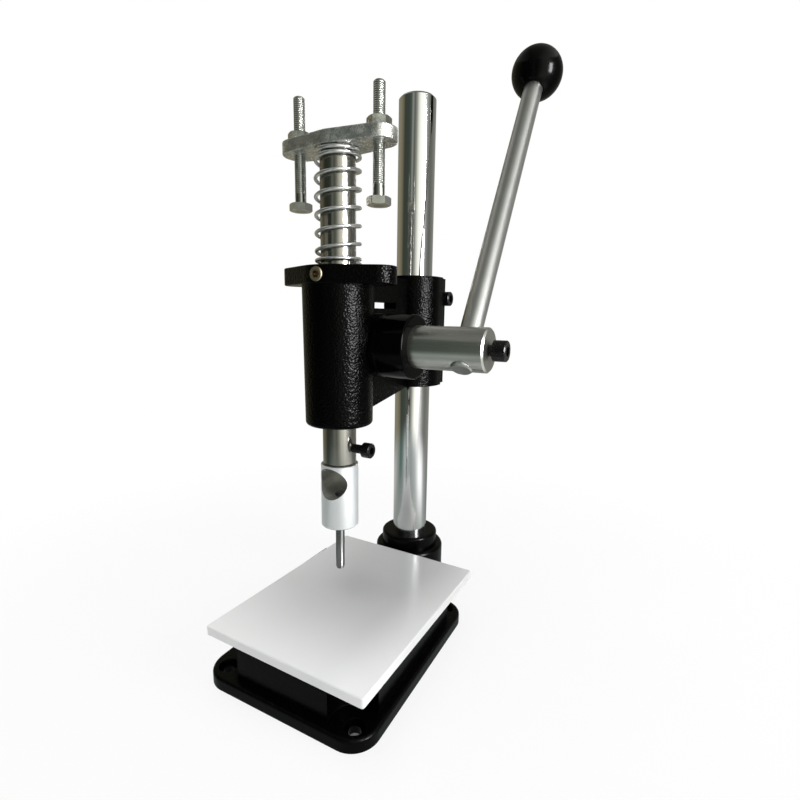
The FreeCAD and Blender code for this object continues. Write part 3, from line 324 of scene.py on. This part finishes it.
def head_paint():
    """Peel, lumps and grain, all times the part of the surface that isn't the hub's rim."""
    paint = Paint("head_paint", Base_Color=grey(0.0006), Specular_IOR_Level=0.065)
    from_axis = distance(paint.y - SHAFT.y, paint.z - SHAFT.z)
    within = 1 - from_axis.steps(HUB_RADIUS, HUB_RADIUS + 0.5 * MM)
    on_hub = paint.x.steps(HUB_X, HUB_X + 2 * MM) * within
    peel = paint.cells(1.0 * MM)
    lumps = paint.noise(2.0 * MM)
    fine = paint.noise(0.45 * MM, detail=1)
    paint.feed("Roughness", 0.13 + 0.1 * fine - 0.05 * on_hub)
    paint.bump((peel * 1.1 + lumps * 0.5 + fine * 0.2) * (1 - 0.9 * on_hub), depth=0.24 * MM)
    return paint


wear(head_paint(), "head")

# %% [markdown]
# ## The column: chrome
# The column is a bar that was ground, plated and polished. A plain mirror would look like glass, so faint
# lines run along it, as noise that is stretched a hundredfold upwards. Fingers and oil leave a soft
# smear, and the foot, where hands clean less, is a little duller.

# %% Dress the column


def column_chrome():
    """Lines that run up the bar, a smear drawn out four times, and more roughness towards the foot."""
    paint = Paint("column_chrome", Base_Color=grey(0.72), Metallic=1.0)
    lines = paint.noise(2.5 * MM, stretch=(1, 1, 0.01))
    smear = paint.noise(12 * MM, detail=3, stretch=(1, 1, 0.25))
    near_foot = 1 - paint.z.steps(60 * MM, 150 * MM)
    paint.feed("Roughness", 0.045 + 0.05 * smear + 0.08 * near_foot)
    paint.bump(lines, depth=0.012 * MM)
    return paint


wear(column_chrome(), "column")

# %% [markdown]
# ## The ram and the shaft: ground and turned steel
# Grinding leaves rings round the ram's axis, and sliding in the head draws fine lines down it. The shaft
# is turned and then handled: its rings go round the shaft, and rough streaks run along it. Each mark is
# noise that is drawn out the way the mark runs. The depths are thousandths of a millimetre: what shows is
# how the marks spread a reflection.

# %% Dress the ram and the shaft
MARKS = 0.25 * MM
MARK_DEPTH = 0.004 * MM


def ram_steel():
    """Rings round the upright axis and lines along it, over clouds of warm grey."""
    paint = Paint("ram_steel", Metallic=1.0)
    rings = paint.noise(MARKS, stretch=(0.02, 0.02, 1))
    clouds = paint.noise(9 * MM, detail=3)
    lines = paint.noise(1.6 * MM, stretch=(1, 1, 0.03))
    worn, clean = (0.26, 0.25, 0.22), (0.42, 0.41, 0.38)
    paint.feed("Base Color", paint.mix(clouds * 0.5 + lines * 0.5, worn, clean))
    paint.feed("Roughness", 0.15 + 0.08 * rings)
    paint.bump(rings + lines, MARK_DEPTH)
    return paint


def shaft_steel():
    """Rings round the shaft's axis, which lies along X, and streaks along it, over clouds of grey."""
    paint = Paint("shaft_steel", Metallic=1.0)
    streaks = paint.noise(0.9 * MM, detail=3, stretch=(0.03, 1, 1))
    clouds = paint.noise(6 * MM, detail=3, stretch=(0.5, 1, 1))
    rings = paint.noise(MARKS, stretch=(1, 0.02, 0.02))
    worn, clean = (0.36, 0.365, 0.33), (0.64, 0.645, 0.61)
    paint.feed("Base Color", paint.mix(streaks * 0.6 + clouds * 0.4, worn, clean))
    paint.feed("Roughness", 0.28 + 0.05 * rings)
    paint.bump(streaks * 3 + rings * 0.3, MARK_DEPTH)
    return paint


wear(ram_steel(), "ram")
wear(shaft_steel(), "pinion_shaft")

# %% [markdown]
# ## The lever: satin steel
# Round rod is drawn through a die, so its lines run along it. This rod leans, and a stretch along X, Y
# or Z would cross it. Its own two directions are worked out first, from the joint along which it slides,
# and the noise is stretched along those.

# %% Dress the lever


def lever_steel():
    """Lines along the rod: noise in the rod's own directions, drawn out 125 times along it."""
    paint = Paint("lever_steel", Metallic=1.0)
    along = paint.y * LEVER_RUN.y + paint.z * LEVER_RUN.z
    across = paint.y * LEVER_RUN.z - paint.z * LEVER_RUN.y
    on_rod = paint.node("CombineXYZ", [paint.x, across, along])
    lines = paint.noise(2 / 3 * MM, stretch=(1, 1, 0.008), place=on_rod)
    clouds = paint.noise(10 * MM, detail=3)
    paint.feed("Base Color", paint.mix(clouds, (0.44, 0.445, 0.43), (0.58, 0.585, 0.57)))
    paint.feed("Roughness", 0.28 + 0.08 * lines)
    paint.bump(lines, depth=0.01 * MM)
    return paint


wear(lever_steel(), "lever_rod")

# %% [markdown]
# ## The plate and the nuts: zinc
# Zinc plate is a skin of small crystals in uneven clouds. Cells with hard borders would look like
# galvanised sheet, so a sharp noise makes the sand and a soft one the clouds, and a smooth step between
# two tones joins them. The plate is paler and sandier than the nuts, so the tones and the depth are
# values that each gives.

# %% Dress the plate, the nuts and the washers
ZINC_SHADE = (0.3, 0.31, 0.28)


def zinc(name, pale, metallic=1.0, sandy=1.0):
    """Soft clouds and sharp sand added, then stepped from shade to pale."""
    paint = Paint(name, Metallic=metallic)
    clouds = paint.noise(5 * MM, detail=3)
    sand = paint.noise(0.7 * MM, detail=3, rough=0.7)
    tone = (clouds * 0.8 + sand * 1.6 - 0.75).steps(0, 1)
    paint.feed("Base Color", paint.mix(tone, ZINC_SHADE, pale))
    paint.feed("Roughness", 0.16 + 0.2 * clouds)
    paint.bump(sand, depth=0.12 * MM * sandy)
    return paint


wear(zinc("plate_zinc", (1.0, 1.0, 0.97), metallic=0.86), "top_plate")
wear(zinc("nut_zinc", (0.74, 0.75, 0.72), sandy=0.2),
     "plate_screw", "stop_nut_left", "stop_nut_right", "column_washer", "shaft_washer")

# %% [markdown]
# ## The stop bolts: zinc with a thread
# A cut thread on two long bolts costs many thousand faces, and from the operator's place it is only a
# pattern of light. So the solid stays a plain rod, and the thread is a ridge in its material: a triangle
# wave that climbs one pitch with each turn round the bolt's axis. The ridge also darkens the grooves in
# the colour, as painted shade. The head and the plain neck under the thread have none, and the head's
# colour is paler, a painted highlight for its lit facets.

# %% Dress the stop bolts
THREAD_PITCH = 1.0 * MM
THREAD_DEPTH = 0.18 * MM
THREAD_FOOT = 270 * MM
ROD_RADIUS = 3.05 * MM


def ridge(turns):
    """A triangle wave: from 1 down to 0 and up to 1 again, once in each whole turn."""
    return abs(turns.math("FRACT", turns) * 2 - 1)


def bolt_zinc(name, node_name):
    """Zinc with a ridge of height over pitch plus turn, on the rod above the thread's foot."""
    paint = Paint(name, Metallic=1.0)
    axis = middle_of(node_name)
    clouds = paint.noise(5 * MM, detail=3)
    across, along = paint.x - axis.x, paint.y - axis.y
    on_head = distance(across, along).steps(ROD_RADIUS, ROD_RADIUS + 0.1 * MM)
    on_thread = (1 - on_head) * paint.z.steps(THREAD_FOOT, THREAD_FOOT + 0.5 * MM)
    flank = ridge(paint.z / THREAD_PITCH + turn(across, along))
    # Painted light: the ridge paints shade into the grooves, and the head is painted paler as a highlight.
    tone = 0.1 + clouds * 0.5 + flank * on_thread * 0.3 + on_head * 0.4
    paint.feed("Base Color", paint.mix(tone, (0.14, 0.145, 0.13), (0.8, 0.81, 0.78)))
    paint.feed("Roughness", 0.12 + 0.14 * clouds)
    paint.bump(flank * on_thread, THREAD_DEPTH)
    return paint


wear(bolt_zinc("bolt_zinc_left", "stop_bolt_left"), "stop_bolt_left")
wear(bolt_zinc("bolt_zinc_right", "stop_bolt_right"), "stop_bolt_right")

# %% [markdown]
# ## The socket screws: black oxide
# Socket cap screws are blackened in a hot bath, and come out nearly black with a thin oily shine. The
# finish is even, so a fine noise in roughness and a very shallow relief are all that it needs.

# %% Dress the black screws and the ring


def black_oxide():
    """One fine noise, in the roughness and in the relief."""
    paint = Paint("black_oxide", Base_Color=grey(0.004), Specular_IOR_Level=0.28)
    fine = paint.noise(0.6 * MM)
    paint.feed("Roughness", 0.2 + 0.14 * fine)
    paint.bump(fine, depth=0.02 * MM)
    return paint


wear(black_oxide(), "clamp_screws", "lever_screw", "holder_screw", "column_screw", "shaft_ring")

# %% [markdown]
# ## The guide screw: brass
# One screw in the front of the head is the colour of brass, with a dark socket. The solid has the socket,
# but little light finds its way in, so a mask by radius and depth also darkens the metal there.

# %% Dress the guide screw
SOCKET_RADIUS = 1.95 * MM


def brass():
    """Brass, darker within the socket's radius and behind the screw's front face."""
    paint = Paint("brass", Metallic=1.0)
    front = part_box("guide_screw")[0].y
    fine = paint.noise(0.7 * MM)
    from_axis = distance(paint.x, paint.z - middle_of("guide_screw").z)
    within = 1 - from_axis.steps(SOCKET_RADIUS, SOCKET_RADIUS + 0.3 * MM)
    in_socket = within * paint.y.steps(front + 0.1 * MM, front + 0.7 * MM)
    paint.feed("Base Color", paint.mix(in_socket, (0.72, 0.62, 0.46), (0.16, 0.10, 0.05)))
    paint.feed("Roughness", 0.24 + 0.16 * fine)
    return paint


wear(brass(), "guide_screw")

# %% [markdown]
# ## Spring wire
# The wire is bright and smooth. It is too thin for a pattern to show, so its roughness varies and nothing
# else.

# %% Dress the spring


def spring_wire():
    """One noise, in the roughness alone."""
    paint = Paint("spring_wire", Base_Color=grey(0.78), Metallic=0.9)
    paint.feed("Roughness", 0.12 + 0.1 * paint.noise(1.5 * MM))
    return paint


wear(spring_wire(), "return_spring")

# %% [markdown]
# ## The punch holder: bright aluminium
# The holder is turned from aluminium that was left bright, so it looks nearly white, with faint rings.
# Full metal would turn dark wherever the studio is dark, and a metal share of 0.6 keeps it pale. Inside
# the window the bore gets less light, so its colour is a darker grey there, as painted shade, and it
# carries the tool's marks.

# %% Dress the punch holder
HOLDER_SKIN = 10.3 * MM


def bright_aluminium():
    """Rings outside; inside the holder's outer radius, darker grey as painted shade and marks of its own.
    """
    paint = Paint("bright_aluminium", Metallic=0.6)
    rings = paint.noise(0.3 * MM, stretch=(0.02, 0.02, 1))
    inside = 1 - distance(paint.x, paint.y - RAM_Y).steps(HOLDER_SKIN, HOLDER_SKIN + 0.3 * MM)
    marks = paint.noise(1.2 * MM, stretch=(0.1, 1, 0.1))
    # Within the outer radius, the darker grey is painted shade in the bore.
    paint.feed("Base Color", paint.mix(inside, (0.86, 0.88, 0.89), (0.42, 0.42, 0.39)))
    paint.feed("Roughness", 0.285 + 0.08 * rings - 0.09 * inside)
    paint.bump(marks * inside, depth=0.005 * MM)
    return paint


wear(bright_aluminium(), "punch_holder")

# %% [markdown]
# ## The punch: tool steel
# The punch is hard, dark and polished, and one pale streak of reflected light runs down it. A lamp could
# draw that streak, but it would draw others on the bars round it. So the streak is a painted highlight:
# the steel's colour is paler there, by its turn round the punch.

# %% Dress the punch
HIGHLIGHT_TURN = 0.665


def tool_steel():
    """Dark steel, with a painted highlight where the turn round the axis is near the highlight's."""
    paint = Paint("tool_steel", Metallic=1.0)
    rings = paint.noise(0.3 * MM, stretch=(0.02, 0.02, 1))
    round_axis = turn(paint.x, RAM_Y - paint.y)
    # A painted highlight: the colour turns white within a narrow turn round the punch.
    painted_highlight = 1 - abs(round_axis - HIGHLIGHT_TURN).steps(0.015, 0.05)
    paint.feed("Base Color", paint.mix(painted_highlight, grey(0.17), grey(1.0)))
    paint.feed("Roughness", 0.12 + 0.12 * rings)
    paint.bump(rings, depth=0.002 * MM)
    return paint


wear(tool_steel(), "punch")

# %% [markdown]
# ## The spring shortens
# The spring stands on the head, and the plate on the ram comes down on it. A rigid spring would poke
# through the plate at the ram's full stroke. Here the spring only gets a mesh of its own: the stroke, the
# anchor at its foot and the twentieth of a millimetre passed with it are not used, so it keeps its shape.

# %% Give the spring its own mesh
RAM_STROKE = joints["ram_stroke"]["range_m"][1]
spring_low, spring_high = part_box("return_spring")
spring_height = spring_high.z - spring_low.z
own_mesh(nodes["return_spring"], "ram_stroke", axis=(0, 0, 1), anchor=(0, RAM_Y, spring_low.z),
          keep=1 - (RAM_STROKE + 0.05 * MM) / spring_height)
print("spring height %.1f mm, stroke %.1f mm" % (spring_height / MM, RAM_STROKE / MM))

# %% [markdown]
# ## The board: milky plastic
# The cutting board is a sheet of soft white plastic that light enters. At its front and right it looks
# white, and it falls off to grey towards the back and the left. That falloff is light and shade: real
# scattering would be slow, so it is painted into the colour as painted shade, in three smooth steps from
# the board's edges.

# %% Dress the board
BOARD_TURN = math.radians(-1.25)


def board_plastic():
    """Painted shade by how far a point is behind the front edge and from the right and left edges."""
    paint = Paint("board_plastic")
    low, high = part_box("cutting_board")
    middle, half = (low + high) / 2, (high - low) / 2
    x, y = paint.x - middle.x, paint.y - middle.y
    across = x * math.cos(BOARD_TURN) + y * math.sin(BOARD_TURN)
    along = y * math.cos(BOARD_TURN) - x * math.sin(BOARD_TURN)
    behind = (along + half.y).steps(-22 * MM, 58 * MM)
    from_right = (half.x - across).steps(-2 * MM, 30 * MM)
    from_left = (across + half.x).steps(-15 * MM, 45 * MM)
    right_part = (1 - from_right) * (1 - 0.35 * behind)
    painted_shade = behind * (0.65 + 0.35 * from_left) * (1 - right_part)
    waves = paint.noise(14 * MM)
    fine = paint.noise(0.8 * MM, detail=3)
    # The white is the board's own colour; the grey towards the back and left is painted shade.
    paint.feed("Base Color", paint.mix(painted_shade, (0.97, 0.98, 0.97), (0.6, 0.61, 0.61)))
    paint.feed("Roughness", 0.2 + 0.06 * waves)
    paint.bump(fine * 0.25 + waves, depth=0.03 * MM)
    return paint


wear(board_plastic(), "cutting_board")

# %% [markdown]
# ## The ball: polished black plastic
# The ball at the lever's end is moulded and polished. It takes its look from what it mirrors, so all it
# gets is a slow wave that bends the reflections a little.

# %% Dress the ball


def ball_plastic():
    """One slow wave, in the roughness and in the relief."""
    paint = Paint("ball_plastic", Base_Color=grey(0.0008), Specular_IOR_Level=0.1)
    waves = paint.noise(9 * MM)
    paint.feed("Roughness", 0.12 + 0.08 * waves)
    paint.bump(waves, depth=0.06 * MM)
    return paint


wear(ball_plastic(), "ball_knob")

# %% [markdown]
# ## White surroundings
# The background is plain white, but a world that white would light the object from all sides and wash out
# the black paint. Light Path tells the rays apart: those that see the world get it at full strength, and
# those that carry its light to the object get it at 0.4.

# %% Light the world
WORLD_LIGHT = 0.4
WORLD_WHITE = 1.0


def make_world():
    """White at one strength where it is seen, and at another where it lights."""
    world = bpy.data.worlds.new("studio")
    scene.world = world
    world.use_nodes = True
    wires = Wiring(world.node_tree)
    background = wires.tree.nodes["Background"]
    levels = {"Value": wires.seen(), "To Min": WORLD_LIGHT, "To Max": WORLD_WHITE}
    wires.plug(wires.node("MapRange", levels), background.inputs["Strength"])
    wires.plug(grey(1.0), background.inputs["Color"])


make_world()
print("world:", scene.world.name)

# %% [markdown]
# ## The floor
# The floor is a pale sheet that catches the object's soft shadow and is plain white further out. An
# emission of strength 1 is exactly white, and it is mixed in more with distance. Under the base it is
# left out, so only the lit floor and its shadow show there.

# %% Lay the floor
FLOOR_HALF = 4.0
SHADOW_Y = 0.02
SHADOW_NEAR, SHADOW_FAR = 0.16, 0.42
UNDER_BASE_X, UNDER_BASE_Y = 47.5 * MM, 61 * MM
WHITE_NEAR = 0.84


def stage_piece(name, points, faces, paint):
    """A mesh that belongs to the studio and not to the drill."""
    mesh = bpy.data.meshes.new(name)
    mesh.from_pydata(points, [], faces)
    mesh.materials.append(paint.material)
    piece = bpy.data.objects.new(name, mesh)
    scene.collection.objects.link(piece)
    return piece


def square(half, height):
    """The four corners of a level square round the origin."""
    return [(x * half, y * half, height) for x, y in ((-1, -1), (1, -1), (1, 1), (-1, 1))]


def floor_paint():
    """White emission over a lit pale floor: most of it near the shadow, and all of it further out."""
    paint = Paint("floor", Base_Color=grey(0.93), Roughness=0.9)
    away = distance(paint.x, paint.y - SHADOW_Y).steps(SHADOW_NEAR, SHADOW_FAR)
    beside = (abs(paint.x) / UNDER_BASE_X).larger(abs(paint.y) / UNDER_BASE_Y).steps(0.975, 1.0)
    white = paint.node("Emission", {"Color": grey(1.0), "Strength": 1.0})
    lit = Flow(paint, paint.shader.outputs["BSDF"])
    white_part = WHITE_NEAR + (1 - WHITE_NEAR) * away
    mixed = paint.node("MixShader", [white_part * beside * paint.seen(), lit, white])
    paint.plug(mixed, paint.tree.nodes["Material Output"].inputs["Surface"])
    return paint


ONE_FACE = [(0, 1, 2, 3)]
stage_piece("floor", square(FLOOR_HALF, 0), ONE_FACE, floor_paint())
print("floor: %.0f m wide" % (2 * FLOOR_HALF))

# %% [markdown]
# ## Two lamps
# A wide lamp at the lever's side gives the object its bright side, and a large one overhead softens the
# shadow. Metal would mirror them as hard white boxes, so reflections don't see the lamps, and the cards
# below give metal something better to mirror.

# %% Hang the lamps


def make_lamp(name, place, aim, size, watts):
    """A rectangular lamp that reflections don't see, turned from its place towards its aim."""
    data = bpy.data.lights.new(name, "AREA")
    data.shape = "RECTANGLE"
    data.size, data.size_y = size
    data.energy = watts
    lamp = bpy.data.objects.new(name, data)
    lamp.location = place
    lamp.rotation_euler = (Vector(aim) - Vector(place)).to_track_quat("-Z", "Y").to_euler()
    lamp.visible_glossy = False
    scene.collection.objects.link(lamp)


make_lamp("key", place=(1.3, 0.05, 0.5), aim=(0, 0, 0.2), size=(0.5, 0.9), watts=10)
make_lamp("overhead", place=(-0.1, -0.2, 1.4), aim=(0, 0, 0.1), size=(0.9, 0.9), watts=8)
print("lamps:", [lamp.name for lamp in bpy.data.lights])

# %% [markdown]
# ## What the bright bars mirror
# A chromed bar is a picture of its room: dark, tan and pale streaks that run up it. A photographer stands
# cards round the object for that. Here a wall and a table are coloured by bearing, which is the direction
# round the object. It is counted in degrees from the camera: 0 is the camera's side, and plus is the
# lever's side.

# %% Choose the tones
WALL_TONES = (
    (-180, (0.2, 0.19, 0.14)), (-150, (0.27, 0.26, 0.19)), (-120, (0.25, 0.23, 0.15)),
    (-100, (0.18, 0.16, 0.1)), (-84, (0.04, 0.045, 0.03)), (-52, (0.035, 0.055, 0.045)),
    (-38, (0.08, 0.09, 0.07)), (-27, (0.3, 0.33, 0.29)), (-14, (0.1, 0.11, 0.095)),
    (-2, (0.34, 0.35, 0.3)), (10, (0.85, 0.87, 0.76)), (22, (1.3, 1.32, 1.2)),
    (44, (1.35, 1.35, 1.3)), (58, (0.5, 0.51, 0.48)), (80, (0.2, 0.21, 0.19)),
    (100, (0.14, 0.145, 0.125)), (120, (0.22, 0.22, 0.2)), (150, (0.28, 0.28, 0.25)),
    (180, (0.2, 0.19, 0.14)))
TABLE_TONES = (
    (-180, grey(0.3)), (-152, (0.6, 0.6, 0.58)), (-116, (0.45, 0.48, 0.46)),
    (-93, (0.25, 0.3, 0.28)), (-76, (0.08, 0.15, 0.13)), (-60, (0.13, 0.2, 0.18)),
    (-44, (0.5, 0.55, 0.53)), (-20, (0.42, 0.47, 0.45)), (0, (0.28, 0.32, 0.31)),
    (28, (0.42, 0.46, 0.45)), (44, (0.8, 0.84, 0.82)), (54, grey(1.3)),
    (76, grey(1.25)), (93, (0.45, 0.48, 0.47)), (116, (0.24, 0.26, 0.25)),
    (152, (0.18, 0.19, 0.18)), (180, grey(0.3)))
print("tones:", len(WALL_TONES), "round the wall and", len(TABLE_TONES), "round the table")

# %% [markdown]
# ## Cards that only reflections see
# A card is black and glows in its own colour. The camera and the object's shadow don't meet it, and it
# puts no light on matt surfaces, so it changes reflections and nothing else. The bearing comes from the
# card's Object coordinates and fixed directions. It stays where it is when another view moves the camera.

# %% Colour by bearing


def card_paint(name, strength=1.0):
    """A black surface that glows."""
    return Paint(name, Base_Color=grey(0), Roughness=0.9, Emission_Strength=strength)


def reflection_card(name, points, faces, paint):
    """A stage piece that only reflections see."""
    card = stage_piece(name, points, faces, paint)
    card.visible_camera = False
    card.visible_diffuse = False
    card.visible_shadow = False


def bearing_of(paint, centre_y=0.0):
    """The turn of a point round x = 0 and y = centre_y, from 0 to 1: 0.5 is the camera's side."""
    ahead_x, ahead_y = math.sin(CAMERA_TURN), -math.cos(CAMERA_TURN)
    y = paint.y - centre_y
    towards = paint.x * ahead_x + y * ahead_y
    aside = y * ahead_x - paint.x * ahead_y
    return turn(aside, towards)


def tones_by_bearing(paint, bearing, tones):
    """A ramp over the bearing, whose borders drift by up to a hundredth of a turn."""
    drift = paint.noise(0.5, stretch=(1, 1, 0.6)) * 0.02 - 0.01
    return paint.ramp(bearing + drift, [((angle + 180) / 360, tone) for angle, tone in tones])


print("bearing ready, camera's side at %.2f degrees" % math.degrees(CAMERA_TURN))

# %% [markdown]
# ## The wall
# Four flat cards would show their corners in the round bars, so the wall is a many-sided ring. Its points
# are the sine and cosine of evenly spaced turns, at two heights.

# %% Stand the wall
WALL_AWAY = 1.5
WALL_HEIGHTS = (0.0, 1.6)
WALL_SIDES = 96


def wall_shape():
    """Points (r sin t, -r cos t, z) for even turns t, and a face between each turn and the next."""
    turns = np.linspace(0, 2 * np.pi, WALL_SIDES, endpoint=False)
    ring = np.stack([np.sin(turns), -np.cos(turns)], axis=1) * WALL_AWAY
    points = np.concatenate([np.insert(ring, 2, height, axis=1) for height in WALL_HEIGHTS])
    here = np.arange(WALL_SIDES)
    after = (here + 1) % WALL_SIDES
    faces = np.stack([here, after, WALL_SIDES + after, WALL_SIDES + here], axis=1)
    return points.tolist(), faces.tolist()


def wall_card():
    """The wall's tones, by bearing from the origin."""
    paint = card_paint("card_wall")
    paint.feed("Emission Color", tones_by_bearing(paint, bearing_of(paint), WALL_TONES))
    return paint


reflection_card("card_wall", *wall_shape(), wall_card())
print("wall:", WALL_SIDES, "sides, %.1f m away" % WALL_AWAY)

# %% [markdown]
# ## The table, the ceiling and the glint
# The bars mirror the table near their feet and the ceiling near their tops. The table is one grey close
# in, takes its tones round the column further out, and joins the wall's tones at the rim. The ceiling is
# dark over the drill's left and pale over the lever's side. The glint is one narrow, very bright card
# at the lever's side, and it draws the sharp light that polished edges show.

# %% Lay and hang the other cards
TABLE_HALF, TABLE_HEIGHT = 1.5, 0.4 * MM
CEILING_HALF, CEILING_HEIGHT = 1.6, 1.55
CEILING_SPAN = 3.0
GLINT_X = 1.25
GLINT_Y = (-0.38, -0.06)
GLINT_Z = (0.12, 0.8)
GLINT_STRENGTH = 52.0


def table_card():
    """Close tone, then tones round the column, then the wall's tones, by distance from the origin."""
    paint = card_paint("card_table")
    middle = tones_by_bearing(paint, bearing_of(paint, COLUMN_Y), TABLE_TONES)
    far = tones_by_bearing(paint, bearing_of(paint), WALL_TONES)
    away = distance(paint.x, paint.y)
    inner = paint.mix(away.steps(0.12, 0.28), (0.3, 0.33, 0.31), middle)
    paint.feed("Emission Color", paint.mix(away.steps(0.3, 0.55), inner, far))
    return paint


def ceiling_card():
    """Four tones from left to right, over X."""
    paint = card_paint("card_ceiling")
    dark, dim = (0.13, 0.135, 0.12), (0.32, 0.33, 0.29)
    stops = ((0.13, grey(0.5)), (0.38, dark), (0.62, dim), (0.93, grey(1.4)))
    paint.feed("Emission Color", paint.ramp(paint.x / CEILING_SPAN + 0.5, stops))
    return paint


def glint_card():
    """Plain white, many times as bright as the other cards."""
    paint = card_paint("card_glint", GLINT_STRENGTH)
    paint.feed("Emission Color", grey(1.0))
    return paint


def glint_corners():
    """The four corners of an upright rectangle that faces the lever's side of the drill."""
    (near, far), (low, high) = GLINT_Y, GLINT_Z
    return [(GLINT_X, near, low), (GLINT_X, far, low), (GLINT_X, far, high), (GLINT_X, near, high)]


reflection_card("card_table", square(TABLE_HALF, TABLE_HEIGHT), ONE_FACE, table_card())
reflection_card("card_ceiling", square(CEILING_HALF, CEILING_HEIGHT), ONE_FACE, ceiling_card())
reflection_card("card_glint", glint_corners(), ONE_FACE, glint_card())

# %% [markdown]
# ## Plain colour
# The Standard view shows a colour as it is written, so white stays white. Eight bounces are enough for
# light between a few bars.

# %% Set the view
LIGHT_BOUNCES = 8
scene.view_settings.view_transform = "Standard"
scene.cycles.max_bounces = LIGHT_BOUNCES
